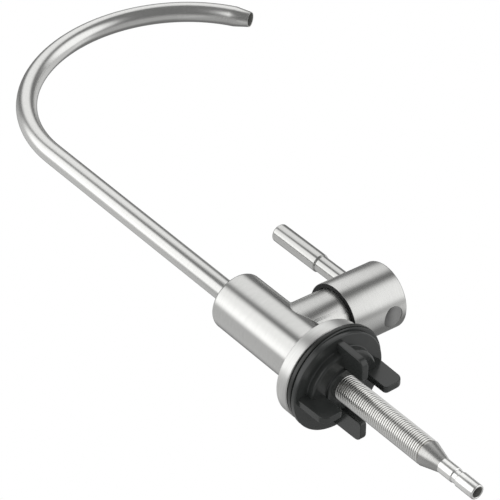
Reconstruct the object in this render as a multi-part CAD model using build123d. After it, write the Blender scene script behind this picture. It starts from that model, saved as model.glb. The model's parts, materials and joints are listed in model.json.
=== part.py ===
from build123d import *
import math
import os

# Reverse osmosis faucet for a sink deck: a column with a side branch for the quarter-turn valve,
# a swivelling gooseneck spout, and a threaded shank that a wing nut clamps under the deck.
# Millimetres. Origin: centre of the base flange's underside. +Z runs up the column and
# +X along the side branch, towards the handle.

# Column and side branch
body_dia = 25.6
body_top = 59.2
body_edge = 1.5
branch_dia = 24.4
branch_height = 27.5
branch_end = 27.0

# Base flange
flange_dia = 43.2
flange_thick = 6.1
flange_edge = 0.6
body_seat_depth = 1.0

# Threaded shank and its tube stub
thread_dia = 11.1
thread_pitch = 25.4 / 24
thread_depth = 0.65
thread_crest = 0.17
thread_root = 0.12
thread_top = 4.0
thread_end = -58.5
shank_top = 15.5
shank_bore = 4.5
stub_dia = 6.35
stub_end = -86.0
cone_end = -67.2
barb_groove_depth = 0.35
barb_groove_top = -74.0
barb_groove_bottom = -76.8
end_chamfer = 0.4

# Clamp stack under the deck, from the flange down
deck_gasket_dia = 41.8
deck_gasket_thick = 1.1
clamp_gasket_dia = 45.4
clamp_gasket_thick = 1.6
slip_washer_dia = 44.4
slip_washer_thick = 1.0
washer_gap = 0.35
loose_washer_gap = 1.5
washer_shift = (1.2, -0.3)

# Wing nut
nut_disc_dia = 44.0
nut_disc_thick = 2.3
nut_disc_edge = 0.7
nut_step_dia = 32.4
nut_step_height = 3.6
nut_step_edge = 1.0
nut_boss_dia = 19.0
nut_boss_height = 1.2
wing_count = 4
wing_inner_radius = 10.6
wing_outer_radius = 20.5
wing_tip_radius = 20.1
wing_height = 15.5
wing_thick = 3.0
wing_corner = 3.6
wing_inner_corner = 1.6
wing_edge = 0.5
wing_turn = -2.5

# Gooseneck spout
spout_dia = 9.5
spout_wall = 0.8
bend_start = 190.3
bend_radius = 67.3
bend_angle = 151.2
nozzle_length = 7.9
nozzle_dia = 7.1
spout_azimuth = -5.4

# Spout socket in the column
socket_dia = 14.0
socket_floor = 42.0
ferrule_length = 11.4
ferrule_lift = 0.6
ferrule_groove_pitch = 4.0
tube_seat_step = 0.6
snap_ring_thick = 1.0
snap_ring_inner_dia = 11.8
snap_ring_groove_dia = 16.0
snap_ring_slot = 4.0
top_bush_thick = 3.2

# Valve chamber and cartridge, placed along +X
chamber_dia = 17.2
chamber_floor = -2.5
seat_seal_thick = 1.8
seat_seal_bore = 5.2
disc_dia = 14.8
fixed_disc_thick = 2.7
moving_disc_thick = 2.6
carrier_thick = 2.4
sleeve_bore = 15.2
sleeve_groove_depth = 0.6
sleeve_groove_length = 6.8
sleeve_window_width = 7.0
bonnet_web = 0.8
bonnet_hex = 19.0
bonnet_head_thick = 4.0
stem_dia = 8.0
stem_drive_dia = 7.8
stem_end = 47.5
stem_flat_depth = 0.6
stem_flat_length = 7.0
stem_clip_thick = 0.8
stem_clip_dia = 12.0
stem_clip_gap = 0.6
disc_port_inner = 2.2
disc_port_outer = 5.8
disc_port_angle = 78.0

# Handle
handle_dia = 28.8
handle_start = 24.9
handle_end = 51.9
handle_edge = 0.9
handle_rim_wall = 0.4
handle_wall = 1.8
handle_cavity_end = 36.0
ring_length = 4.0
ring_lip = 1.6
lever_x = 43.9
lever_thin_dia = 7.3
lever_thick_dia = 8.3
lever_step = 58.0
lever_top = 86.2
lever_top_edge = 0.9
lever_seat_depth = 0.8
lever_stud_dia = 5.0
lever_stud_length = 5.5
set_screw_x = 44.5
set_screw_dia = 4.0
set_screw_length = 5.0
set_screw_socket = 2.0
plug_dia = 9.4
plug_length = 3.6
plug_recess = 0.85
plug_edge = 0.4

# Waterways
inlet_dia = 3.8
inlet_x = -5.5
outlet_dia = 3.8
outlet_x = 4.2
plenum_height = 2.0

# Seals and clearances
o_ring_section = 1.3
shank_o_ring_z = 12.0
bonnet_o_ring_section = 1.6
bonnet_o_ring_x = 12.2
stem_o_ring_x = 18.0
seal_gap = 0.04
running_gap = 0.05
seat_gap = 0.05
screw_gap = 0.08
loose_gap = 0.15

# Places worked out from the sizes above
body_radius = body_dia / 2
branch_radius = branch_dia / 2
handle_radius = handle_dia / 2
thread_radius = thread_dia / 2
stub_radius = stub_dia / 2
spout_radius = spout_dia / 2
body_foot = flange_thick - body_seat_depth
shank_socket_top = shank_top + plenum_height
clamp_gasket_top = -deck_gasket_thick
slip_washer_top = clamp_gasket_top - clamp_gasket_thick
nut_top = slip_washer_top - slip_washer_thick
nut_disc_face = nut_top - nut_disc_thick
nut_step_face = nut_disc_face - nut_step_height
nut_boss_face = nut_step_face - nut_boss_height
ferrule_bottom = socket_floor + ferrule_lift
ferrule_top = ferrule_bottom + ferrule_length
snap_ring_bottom = ferrule_top + seat_gap
snap_ring_top = snap_ring_bottom + snap_ring_thick
top_bush_bottom = body_top - top_bush_thick
fixed_disc_start = chamber_floor + seat_seal_thick
moving_disc_start = fixed_disc_start + fixed_disc_thick
carrier_start = moving_disc_start + moving_disc_thick
carrier_stop = carrier_start + carrier_thick
sleeve_stop = carrier_stop + bonnet_web + running_gap
bonnet_head_start = branch_end
bonnet_head_stop = bonnet_head_start + bonnet_head_thick
stem_clip_start = bonnet_head_stop + running_gap
drive_start = stem_clip_start + stem_clip_thick
ring_inner_radius = branch_radius + loose_gap
ring_outer_radius = handle_radius - handle_rim_wall - seat_gap
plug_face_z = branch_height - handle_radius + plug_recess
lever_seat_z = branch_height + handle_radius - lever_seat_depth
set_screw_tip_z = branch_height - stem_drive_dia / 2 + stem_flat_depth - seat_gap


def rod(radius, low, high):
    """Solid cylinder on the Z axis between two heights."""
    return Pos(0, 0, (low + high) / 2) * Cylinder(radius, high - low)


def ring(outer_radius, inner_radius, low, high):
    """Flat washer or tube on the Z axis between two heights."""
    return rod(outer_radius, low, high) - rod(inner_radius, low, high)


def turned(*outline):
    """Solid of revolution about Z from (radius, height) points."""
    section = make_face(Polyline(*[(radius, 0, height) for radius, height in outline], close=True))
    return revolve(section, Axis.Z, 360)


def o_ring(outer_radius, section, height):
    """Round-section seal whose outside has the given radius."""
    return Pos(0, 0, height) * Torus(outer_radius - section / 2, section / 2)


def on_branch(shape):
    """Turn a piece drawn along Z so that it lies along +X on the branch's axis."""
    return Pos(0, 0, branch_height) * Rot(0, 90, 0) * shape


def hexagon(across_flats, low, high):
    """Hexagonal prism on the Z axis between two heights."""
    return Pos(0, 0, low) * extrude(RegularPolygon(across_flats / math.sqrt(3), 6), high - low)


def rim(solid, height, radius):
    """Circular edges of a solid at one height and of one radius."""
    edges = solid.edges().filter_by(GeomType.CIRCLE).filter_by_position(Axis.Z, height - 0.01, height + 0.01)
    return [edge for edge in edges if abs(edge.radius - radius) < 0.01]


def faucet_body():
    """Column with its brazed side branch, bored for the shank, the cartridge and the spout."""
    column = rod(body_radius, body_foot, body_top)
    column = fillet(rim(column, body_top, body_radius), body_edge)
    body = column + on_branch(rod(branch_radius, 0, branch_end))
    body -= rod(thread_radius + seat_gap, body_foot, shank_socket_top)
    body -= Pos(inlet_x, 0, 0) * rod(inlet_dia / 2, shank_top, branch_height)
    body -= on_branch(rod(inlet_dia / 2, inlet_x - inlet_dia / 2, chamber_floor))
    body -= on_branch(rod(chamber_dia / 2, chamber_floor, branch_end))
    body -= Pos(outlet_x, 0, 0) * rod(outlet_dia / 2, branch_height, socket_floor)
    body -= rod(socket_dia / 2, socket_floor, body_top)
    body -= rod(snap_ring_groove_dia / 2, snap_ring_bottom - seat_gap, snap_ring_top + seat_gap)
    return body


def base_flange():
    """Round flange that covers the deck hole, recessed on top for the column's foot."""
    flange = rod(flange_dia / 2, 0, flange_thick)
    flange = fillet(rim(flange, 0, flange_dia / 2) + rim(flange, flange_thick, flange_dia / 2), flange_edge)
    flange -= rod(body_radius + seat_gap, body_foot, flange_thick)
    return flange - rod(thread_radius + seat_gap, 0, body_foot)


def thread_outline():
    """Outline points of the thread's ridges, from its top down, each ridge a closed ring of the true section."""
    flank = (thread_pitch - thread_crest - thread_root) / 2
    points = []
    for index in range(int((thread_top - thread_end) / thread_pitch)):
        start = thread_top - index * thread_pitch - thread_crest / 2
        points += [
            (thread_radius, start),
            (thread_radius - thread_depth, start - flank),
            (thread_radius - thread_depth, start - flank - thread_root),
            (thread_radius, start - thread_pitch + thread_crest),
        ]
    return points


def threaded_shank():
    """Shank turned with its thread's ridges, its cone, its grooved tube stub and the waterway through it."""
    groove_radius = stub_radius - barb_groove_depth
    seal_floor = thread_radius + seat_gap - seal_gap - o_ring_section
    half_groove = o_ring_section / 2 + seat_gap
    bore_radius = shank_bore / 2
    return turned(
        (bore_radius, shank_top),
        (thread_radius - end_chamfer, shank_top),
        (thread_radius, shank_top - end_chamfer),
        (thread_radius, shank_o_ring_z + half_groove),
        (seal_floor, shank_o_ring_z + half_groove),
        (seal_floor, shank_o_ring_z - half_groove),
        (thread_radius, shank_o_ring_z - half_groove),
        *thread_outline(),
        (thread_radius, thread_end),
        (stub_radius, cone_end),
        (stub_radius, barb_groove_top),
        (groove_radius, barb_groove_top - barb_groove_depth),
        (groove_radius, barb_groove_bottom + barb_groove_depth),
        (stub_radius, barb_groove_bottom),
        (stub_radius, stub_end + end_chamfer),
        (stub_radius - end_chamfer, stub_end),
        (bore_radius, stub_end),
    )


def shank_o_ring():
    """Seal between the shank and the column's socket."""
    return o_ring(thread_radius + seat_gap - seal_gap, o_ring_section, shank_o_ring_z)


def deck_gasket():
    """Rubber gasket under the flange."""
    return ring(deck_gasket_dia / 2, thread_radius + washer_gap, clamp_gasket_top, 0)


def clamp_gasket():
    """Rubber washer that presses on the deck's underside, loose on the shank as the slip washer is."""
    gasket = ring(clamp_gasket_dia / 2, thread_radius + loose_washer_gap, slip_washer_top, clamp_gasket_top)
    return Pos(*washer_shift, 0) * gasket


def slip_washer():
    """Thin hard washer between the rubber and the turning nut."""
    washer = ring(slip_washer_dia / 2, thread_radius + loose_washer_gap, nut_top, slip_washer_top)
    return Pos(*washer_shift, 0) * washer


def nut_wing():
    """One radial wing in the XZ plane, its outer corner and its inner corner rounded."""
    root = nut_disc_face + nut_disc_thick / 2
    tip = nut_disc_face - wing_height
    outline = make_face(Polyline(
        (wing_inner_radius, 0, root),
        (wing_outer_radius, 0, root),
        (wing_tip_radius, 0, tip),
        (wing_inner_radius, 0, tip),
        close=True,
    ))
    tip_corners = outline.vertices().sort_by(Axis.Z)[:2].sort_by(Axis.X)
    outline = fillet([tip_corners[1]], wing_corner)
    inner_tip = outline.vertices().sort_by(Axis.X)[:2].sort_by(Axis.Z)[0]
    outline = fillet([inner_tip], wing_inner_corner)
    wing = extrude(outline, wing_thick / 2, dir=(0, 1, 0), both=True)
    sides = [edge for edge in wing.edges() if edge.center().Z < nut_disc_face - nut_step_height
             and abs(abs(edge.center().Y) - wing_thick / 2) < 0.01]
    return fillet(sides, wing_edge)


def wing_nut():
    """Moulded nut: a wide clamping disc, a stepped hub and four wings, bored for the thread."""
    disc = rod(nut_disc_dia / 2, nut_disc_face, nut_top)
    disc = fillet(rim(disc, nut_disc_face, nut_disc_dia / 2), nut_disc_edge)
    step = rod(nut_step_dia / 2, nut_step_face, nut_disc_face)
    step = fillet(rim(step, nut_step_face, nut_step_dia / 2), nut_step_edge)
    nut = disc + step + rod(nut_boss_dia / 2, nut_boss_face, nut_step_face)
    for index in range(wing_count):
        nut += Rot(0, 0, wing_turn + index * 360 / wing_count) * nut_wing()
    return nut - rod(thread_radius + screw_gap, nut_boss_face, nut_top)


def spout_tube():
    """Riser, bend and tapered nozzle of the gooseneck, one tube of even wall."""
    def neck(radius, end_radius):
        riser = rod(radius, ferrule_bottom + tube_seat_step, bend_start)
        section = Pos(0, 0, bend_start) * make_face(CenterArc((0, 0, 0), radius, 0, 360))
        bend = revolve(section, Axis((bend_radius, 0, bend_start), (0, 1, 0)), bend_angle)
        turn = math.radians(bend_angle)
        bend_tip = Pos(bend_radius * (1 - math.cos(turn)), 0, bend_start + bend_radius * math.sin(turn))
        nozzle = bend_tip * Rot(0, bend_angle, 0) * Pos(0, 0, nozzle_length / 2) * Cone(
            radius, end_radius, nozzle_length)
        return riser + bend + nozzle

    tube = neck(spout_radius, nozzle_dia / 2) - neck(spout_radius - spout_wall, nozzle_dia / 2 - spout_wall)
    return Rot(0, 0, spout_azimuth) * tube


def ferrule_seal_heights():
    """Heights of the two seals on the spout's ferrule."""
    middle = (ferrule_bottom + ferrule_top) / 2
    return [middle - ferrule_groove_pitch / 2, middle + ferrule_groove_pitch / 2]


def spout_ferrule():
    """Sleeve soldered to the tube's foot, grooved for two seals."""
    outer = socket_dia / 2 - running_gap
    ferrule = ring(outer, spout_radius + seat_gap, ferrule_bottom, ferrule_top)
    stop = ring(outer, spout_radius - spout_wall, ferrule_bottom, ferrule_bottom + tube_seat_step - seat_gap)
    half_groove = o_ring_section / 2 + seat_gap
    groove_floor = socket_dia / 2 - seal_gap - o_ring_section
    for height in ferrule_seal_heights():
        ferrule -= ring(outer + seat_gap, groove_floor, height - half_groove, height + half_groove)
    return ferrule + stop


def spout_o_ring(height):
    """Seal between the spout's ferrule and its socket."""
    return o_ring(socket_dia / 2 - seal_gap, o_ring_section, height)


def spout_snap_ring():
    """Split ring in the column's groove, which keeps the ferrule down."""
    outer = snap_ring_groove_dia / 2 - seat_gap
    split = Pos(0, -outer, (snap_ring_bottom + snap_ring_top) / 2) * Box(
        snap_ring_slot, 2 * outer - snap_ring_inner_dia / 2, 2 * snap_ring_thick)
    return ring(outer, snap_ring_inner_dia / 2, snap_ring_bottom, snap_ring_top) - split


def spout_bush():
    """Plastic bush at the column's top, in which the riser turns."""
    outer = socket_dia / 2 - seat_gap
    return ring(outer, spout_radius + running_gap, top_bush_bottom, body_top)


def port_disc(start, thick, first_angle):
    """Ceramic disc with two opposite sector ports, drawn along Z."""
    disc = rod(disc_dia / 2, start, start + thick)
    corner = 2 * disc_port_outer
    half = math.radians(disc_port_angle / 2)
    wedge = make_face(Polyline(
        (0, 0), (corner * math.cos(half), -corner * math.sin(half)),
        (corner * math.cos(half), corner * math.sin(half)), close=True))
    band = ring(disc_port_outer, disc_port_inner, start, start + thick)
    port = band & (Pos(0, 0, start) * extrude(wedge, thick))
    for side in (0, 180):
        disc -= Rot(0, 0, first_angle + side) * port
    return disc


def seat_seal():
    """Rubber seat between the chamber's floor and the fixed disc."""
    return on_branch(ring(disc_dia / 2, seat_seal_bore / 2, chamber_floor, fixed_disc_start))


def fixed_disc():
    """Ceramic disc that stays still, ports to the sides."""
    return on_branch(port_disc(fixed_disc_start, fixed_disc_thick, 90))


def moving_disc():
    """Ceramic disc that the stem turns, ports up and down when shut."""
    return on_branch(port_disc(moving_disc_start, moving_disc_thick, 0))


def cartridge_housing():
    """Brass bonnet: sleeve round the discs, side windows, seal groove, bearing and hexagon head."""
    outer = chamber_dia / 2 - seat_gap
    housing = rod(outer, chamber_floor + seat_gap, bonnet_head_start)
    housing += hexagon(bonnet_hex, bonnet_head_start, bonnet_head_stop)
    groove_start = sleeve_stop - sleeve_groove_length
    housing -= ring(outer + seat_gap, outer - sleeve_groove_depth, groove_start, sleeve_stop)
    half_groove = bonnet_o_ring_section / 2 + seat_gap
    groove_floor = chamber_dia / 2 - seal_gap - bonnet_o_ring_section
    groove_middle = bonnet_o_ring_x
    housing -= ring(outer + seat_gap, groove_floor, groove_middle - half_groove, groove_middle + half_groove)
    housing -= rod(sleeve_bore / 2, chamber_floor, sleeve_stop)
    housing -= rod(stem_dia / 2 + running_gap, sleeve_stop, bonnet_head_stop)
    window = Pos(0, 0, (carrier_start + sleeve_stop) / 2) * Box(
        sleeve_window_width, chamber_dia, sleeve_stop - carrier_start)
    return on_branch(housing - window)


def cartridge_o_ring():
    """Seal between the bonnet and the chamber."""
    return on_branch(o_ring(chamber_dia / 2 - seal_gap, bonnet_o_ring_section, bonnet_o_ring_x))


def cartridge_stem():
    """Stem with the slotted carrier that turns the disc, a seal groove and a flatted drive end."""
    half_groove = o_ring_section / 2 + seat_gap
    seal_floor = stem_dia / 2 + running_gap - seal_gap - o_ring_section
    clip_floor = stem_drive_dia / 2 - stem_clip_gap
    drive_radius = stem_drive_dia / 2
    stem = rod(disc_dia / 2, carrier_start, carrier_stop)
    slot = Box(2 * disc_port_outer, disc_port_outer, carrier_thick)
    for side in (-1, 1):
        stem -= Pos(side * disc_port_outer * 1.5, 0, (carrier_start + carrier_stop) / 2) * slot
    stem += rod(stem_dia / 2, carrier_stop, stem_clip_start)
    stem += rod(clip_floor, stem_clip_start, drive_start + seat_gap)
    stem += rod(drive_radius, drive_start + seat_gap, stem_end)
    stem -= ring(stem_dia, seal_floor, stem_o_ring_x - half_groove, stem_o_ring_x + half_groove)
    flat = Pos(stem_dia, 0, stem_end - stem_flat_length / 2) * Box(
        2 * (stem_dia - drive_radius + stem_flat_depth), 2 * stem_dia, stem_flat_length)
    return on_branch(stem - flat)


def stem_o_ring():
    """Seal between the stem and the bonnet's bearing."""
    return on_branch(o_ring(stem_dia / 2 + running_gap - seal_gap, o_ring_section, stem_o_ring_x))


def stem_clip():
    """Open clip in the stem's groove, which keeps the stem in the bonnet."""
    inner = stem_drive_dia / 2 - stem_clip_gap + seat_gap
    clip = ring(stem_clip_dia / 2, inner, stem_clip_start + seat_gap / 2, drive_start)
    mouth = Pos(0, stem_clip_dia / 2, drive_start) * Box(2 * inner * 0.9, stem_clip_dia, 4 * stem_clip_thick)
    return on_branch(clip - mouth)


def handle_cap():
    """Drum of the handle: hollow over the bonnet, with a hub for the stem, the lever and the screw."""
    cap = rod(handle_radius, handle_start, handle_end)
    cap = fillet(rim(cap, handle_end, handle_radius), handle_edge)
    cap -= rod(handle_radius - handle_rim_wall, handle_start, handle_start + ring_length)
    cap -= rod(handle_radius - handle_wall, handle_start, handle_cavity_end)
    cap -= rod(stem_drive_dia / 2 + seat_gap, handle_cavity_end, stem_end + seat_gap)
    cap = on_branch(cap)
    top = branch_height + handle_radius
    bottom = branch_height - handle_radius
    lever_hole = rod(lever_thin_dia / 2 + seat_gap, lever_seat_z, top)
    lever_hole += rod(lever_stud_dia / 2 + seat_gap, lever_seat_z - lever_stud_length - seat_gap, lever_seat_z)
    screw_hole = rod(set_screw_dia / 2 + seat_gap, bottom, branch_height)
    screw_hole += rod(plug_dia / 2 + seat_gap, bottom, plug_face_z + plug_length + seat_gap)
    return cap - Pos(lever_x, 0, 0) * lever_hole - Pos(set_screw_x, 0, 0) * screw_hole


def handle_ring():
    """Plastic ring in the drum's mouth, which runs on the branch."""
    start = handle_start
    lip = ring(ring_outer_radius, ring_inner_radius, start, start + ring_lip)
    inner_part = ring(handle_radius - handle_wall - seat_gap, ring_inner_radius, start, start + ring_length)
    return on_branch(lip + inner_part)


def lever_rod():
    """Lever turned in one piece: stud, thin neck and thicker grip with a rounded top."""
    thin = lever_thin_dia / 2
    thick = lever_thick_dia / 2
    neck_step = lever_step + thick - thin
    grip = turned((0, lever_step), (thin, lever_step), (thick, neck_step), (thick, lever_top), (0, lever_top))
    grip = fillet(rim(grip, lever_top, thick), lever_top_edge)
    neck = rod(thin, lever_seat_z + seat_gap, lever_step)
    neck += rod(lever_stud_dia / 2, lever_seat_z - lever_stud_length, lever_seat_z + seat_gap)
    return Pos(lever_x, 0, 0) * (neck + grip)


def set_screw():
    """Socket screw that holds the drum on the stem's flat."""
    low = set_screw_tip_z - set_screw_length
    screw = rod(set_screw_dia / 2, low, set_screw_tip_z)
    return Pos(set_screw_x, 0, 0) * (screw - hexagon(set_screw_socket, low, low + set_screw_length / 2))


def screw_plug():
    """Round plug that covers the set screw's hole."""
    plug = rod(plug_dia / 2, plug_face_z, plug_face_z + plug_length)
    return Pos(set_screw_x, 0, 0) * fillet(rim(plug, plug_face_z, plug_dia / 2), plug_edge)


lower_seal, upper_seal = ferrule_seal_heights()
pieces = {
    "faucet_body": faucet_body(),
    "base_flange": base_flange(),
    "threaded_shank": threaded_shank(),
    "shank_o_ring": shank_o_ring(),
    "deck_gasket": deck_gasket(),
    "clamp_gasket": clamp_gasket(),
    "slip_washer": slip_washer(),
    "wing_nut": wing_nut(),
    "spout_tube": spout_tube(),
    "spout_ferrule": spout_ferrule(),
    "spout_o_ring_lower": spout_o_ring(lower_seal),
    "spout_o_ring_upper": spout_o_ring(upper_seal),
    "spout_snap_ring": spout_snap_ring(),
    "spout_bush": spout_bush(),
    "seat_seal": seat_seal(),
    "fixed_disc": fixed_disc(),
    "moving_disc": moving_disc(),
    "cartridge_housing": cartridge_housing(),
    "cartridge_o_ring": cartridge_o_ring(),
    "cartridge_stem": cartridge_stem(),
    "stem_o_ring": stem_o_ring(),
    "stem_clip": stem_clip(),
    "handle_cap": handle_cap(),
    "handle_ring": handle_ring(),
    "lever_rod": lever_rod(),
    "set_screw": set_screw(),
    "screw_plug": screw_plug(),
}

os.makedirs("parts", exist_ok=True)
for name, piece in pieces.items():
    export_step(piece, f"parts/{name}.step")
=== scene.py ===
"""Looks of a brushed stainless drinking water faucet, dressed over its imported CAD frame.

Lengths in the classes are millimetres, as on a workshop drawing, and become metres where a mesh is made; only
the studio round the faucet is drawn in metres. Angles are degrees.
The faucet's own axes are used throughout: +Z runs up the column, +X along the side branch to the handle, and
the origin is the middle of the base flange's underside.
"""
import json
import logging
import math
from dataclasses import dataclass, field, replace
from enum import Enum
from functools import cache
from typing import Any, Sequence

import bpy
from bpy.types import Material, MeshPolygon, Node, NodeSocket, NodeTree, Object
from mathutils import Matrix, Vector

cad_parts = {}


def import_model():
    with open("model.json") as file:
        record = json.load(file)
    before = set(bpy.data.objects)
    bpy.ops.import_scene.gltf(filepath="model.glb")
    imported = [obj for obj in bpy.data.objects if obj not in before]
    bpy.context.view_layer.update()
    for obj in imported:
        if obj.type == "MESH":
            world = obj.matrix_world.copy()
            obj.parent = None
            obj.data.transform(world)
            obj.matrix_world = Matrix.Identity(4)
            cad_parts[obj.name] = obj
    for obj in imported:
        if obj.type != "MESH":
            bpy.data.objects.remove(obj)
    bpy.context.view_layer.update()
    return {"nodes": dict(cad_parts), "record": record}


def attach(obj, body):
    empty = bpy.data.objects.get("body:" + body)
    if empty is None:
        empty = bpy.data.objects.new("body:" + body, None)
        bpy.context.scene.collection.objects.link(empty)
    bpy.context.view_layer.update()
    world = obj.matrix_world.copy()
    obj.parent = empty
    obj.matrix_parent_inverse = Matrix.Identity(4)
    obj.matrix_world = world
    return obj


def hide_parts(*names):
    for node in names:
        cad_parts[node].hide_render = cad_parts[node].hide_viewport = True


MM = 0.001
# Points closer than this are one point.
MERGE_DISTANCE = 0.002
# A tool solid stands this far out of the piece that it cuts.
OVERSHOOT = 1.0
# Room round a piece that sits in a drilled hole.
CLEARANCE = 0.05
# Faces that meet at more than this many degrees form an edge.
EDGE_ANGLE = 40.0
# Height of the side branch's axis over the flange's underside.
BRANCH_HEIGHT = 27.5
# Range in which noise mostly lies, and a narrower one, which gives sharper patches.
FULL_NOISE = {"From Min": 0.3, "From Max": 0.7}
SHARP_NOISE = {"From Min": 0.35, "From Max": 0.65}
# Usual radii of rounded edges.
DEBURRED, FINE, LIGHT, PLAIN, EASED, SOFT, BROAD = 0.1, 0.15, 0.2, 0.3, 0.4, 0.5, 0.9
# Corner of a turned outline: how far along the axis, how far out from it, and the radius that rounds it.
Corner = tuple[float, ...]
log = logging.getLogger("faucet")


class Way(Enum):
    """How a tool solid changes a piece."""

    UNITE = "UNION"
    CUT = "DIFFERENCE"


class Steps(Enum):
    """Flat steps in a full turn, more for a piece whose rim stands out in the picture."""

    HOLE = 72
    SLIM = 96
    RING = 160
    BODY = 192
    RIM = 224


@dataclass(frozen=True)
class Spindle:
    """A turning axis: where it stands, which way it runs, and where its outlines are drawn."""

    centre: tuple[float, float, float] = (0, 0, 0)
    axis: tuple[float, float, float] = (0, 0, 1)
    side: tuple[float, float, float] = (1, 0, 0)

    def point(self, along: float, out: float) -> Vector:
        """Place in metres of an outline point, given along the axis and out from it."""
        return (Vector(self.centre) + Vector(self.axis) * along + Vector(self.side) * out) * MM


COLUMN_AXIS = Spindle()
BRANCH_AXIS = Spindle((0, 0, BRANCH_HEIGHT), (1, 0, 0), (0, 0, 1))
WASHER_AXIS = Spindle((1.2, -0.3, 0))
LEVER_AXIS = Spindle((43.9, 0, 0))
PLUG_AXIS = Spindle((44.5, 0, 0))


def linear(colour: str) -> tuple[float, float, float, float]:
    """Turn an sRGB hex colour into Blender's linear colour.

    Args:
        colour: Six hex digits after a hash, such as "#c8c6c2".

    Returns:
        Linear red, green, blue and an alpha of one.
    """
    parts = [int(colour[place:place + 2], 16) / 255 for place in (1, 3, 5)]
    return (*[c / 12.92 if c <= 0.04045 else ((c + 0.055) / 1.055) ** 2.4 for c in parts], 1.0)


def add_node(tree: NodeTree, kind: str, inputs: dict[Any, Any] | None = None, **settings: Any) -> Node:
    """Add one shader node with its settings and links.

    Args:
        tree: Node tree that gets the node.
        kind: Node type, without the ShaderNode in front.
        inputs: Values or output sockets, by the input's name or number.
        **settings: Properties of the node.

    Returns:
        The new node.
    """
    node = tree.nodes.new("ShaderNode" + kind)
    for name, value in settings.items():
        setattr(node, name, value)
    for key, value in (inputs or {}).items():
        if isinstance(value, NodeSocket):
            tree.links.new(value, node.inputs[key])
        else:
            node.inputs[key].default_value = value
    return node


def blank_material(name: str) -> Material:
    """Make a material with an empty node tree.

    Args:
        name: Name of the material.

    Returns:
        The material.
    """
    material = bpy.data.materials.new(name)
    material.use_nodes = True
    material.node_tree.nodes.clear()
    return material


def shade(tree: NodeTree, height: NodeSocket, depth: float, inputs: dict[str, Any]) -> Node:
    """End a material with its bump, its shader and its output.

    Args:
        tree: Node tree of the material.
        height: Height of the grain.
        depth: Depth of the grain in millimetres.
        inputs: The shader's other inputs.

    Returns:
        The shader.
    """
    bump = add_node(tree, "Bump", {"Height": height, "Strength": 1.0, "Distance": depth * MM})
    shader = add_node(tree, "BsdfPrincipled", {**inputs, "Normal": bump.outputs[0]})
    add_node(tree, "OutputMaterial", {"Surface": shader.outputs[0]})
    return shader


@dataclass(frozen=True)
class TurnedMetal:
    """Solid metal turned, brushed or polished round an axis.

    The eye sees it as bands of light and dark along the axis, broken up by hair-fine lines that run round it.
    """

    name: str
    spindle: Spindle
    light: str
    dark: str
    roughness: float
    roughness_change: float = 0.10
    line_length: float = 5.0
    line_width: float = 0.2
    line_depth: float = 0.001
    anisotropy: float = 0.3
    unrolled: str = ""
    root: float = 0.0
    crest: float = 0.0
    root_shade: str = "#a8a6a2"

    @cache
    def material(self) -> Material:
        """Build the material, once for all pieces that use it.

        Returns:
            A metal with line grain in its colour, roughness and bump.
        """
        material = blank_material(self.name)
        tree = material.node_tree
        lines, around, out = self.grain(tree)
        grit = add_node(tree, "TexNoise", {"Vector": lines, "Scale": 1.0, "Detail": 4.0,
                                           "Roughness": 0.7}).outputs["Fac"]
        worn = add_node(tree, "MapRange", {"Value": grit, **FULL_NOISE}).outputs[0]
        colour = add_node(tree, "Mix", {0: worn, 6: linear(self.dark), 7: linear(self.light)},
                          data_type="RGBA").outputs[2]
        # Painted shade: the colour darkens from the crest down into the roots of the thread.
        if self.crest:
            out_of_shade = add_node(tree, "MapRange", {"Value": out, "From Min": self.root * MM,
                                                "From Max": self.crest * MM}).outputs[0]
            colour = add_node(tree, "Mix", {0: out_of_shade, 6: linear(self.root_shade), 7: colour},
                              data_type="RGBA").outputs[2]
        half = self.roughness_change / 2
        rough = add_node(tree, "MapRange", {"Value": worn, "To Min": self.roughness + half,
                                            "To Max": self.roughness - half}).outputs[0]
        shader = shade(tree, grit, self.line_depth,
                       {"Base Color": colour, "Metallic": 1.0, "Roughness": rough})
        if self.anisotropy:
            shader.inputs["Anisotropic"].default_value = self.anisotropy
            shader.inputs["Anisotropic Rotation"].default_value = 0.25
            tree.links.new(around, shader.inputs["Tangent"])
        return material

    def grain(self, tree: NodeTree) -> tuple[NodeSocket, ...]:
        """Coordinates whose noise comes out as fine lines round the axis, on walls and end faces alike.

        Args:
            tree: Node tree that gets the nodes.

        Returns:
            The stretched coordinates, the lines' direction in world space, and the distance from the axis.
        """
        axis = Vector(self.spindle.axis)
        if self.unrolled:
            place = add_node(tree, "Attribute", attribute_name=self.unrolled).outputs["Vector"]
        else:
            place = add_node(tree, "TexCoord").outputs["Object"]
        off_centre = add_node(tree, "VectorMath", {0: place, 1: Vector(self.spindle.centre) * MM},
                              operation="SUBTRACT").outputs[0]
        radial = add_node(tree, "VectorMath", {0: off_centre, 1: Vector((1, 1, 1)) - axis},
                          operation="MULTIPLY").outputs[0]
        out = add_node(tree, "VectorMath", {0: radial}, operation="LENGTH").outputs["Value"]
        along = add_node(tree, "VectorMath", {0: off_centre, 1: axis},
                         operation="DOT_PRODUCT").outputs["Value"]
        across = add_node(tree, "Math", {0: along, 1: out}, operation="ADD").outputs[0]
        row = add_node(tree, "Math", {0: across, 1: 1 / (self.line_width * MM)},
                       operation="MULTIPLY").outputs[0]
        rows = add_node(tree, "VectorMath", {0: axis, "Scale": row}, operation="SCALE").outputs[0]
        run = add_node(tree, "VectorMath", {0: radial, "Scale": 1 / (self.line_length * MM)},
                       operation="SCALE").outputs[0]
        lines = add_node(tree, "VectorMath", {0: rows, 1: run}, operation="ADD").outputs[0]
        around = add_node(tree, "VectorMath", {0: axis, 1: radial}, operation="CROSS_PRODUCT").outputs[0]
        world = add_node(tree, "VectorTransform", {0: around}, convert_from="OBJECT",
                         convert_to="WORLD").outputs[0]
        return lines, add_node(tree, "VectorMath", {0: world}, operation="NORMALIZE").outputs[0], out


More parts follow.
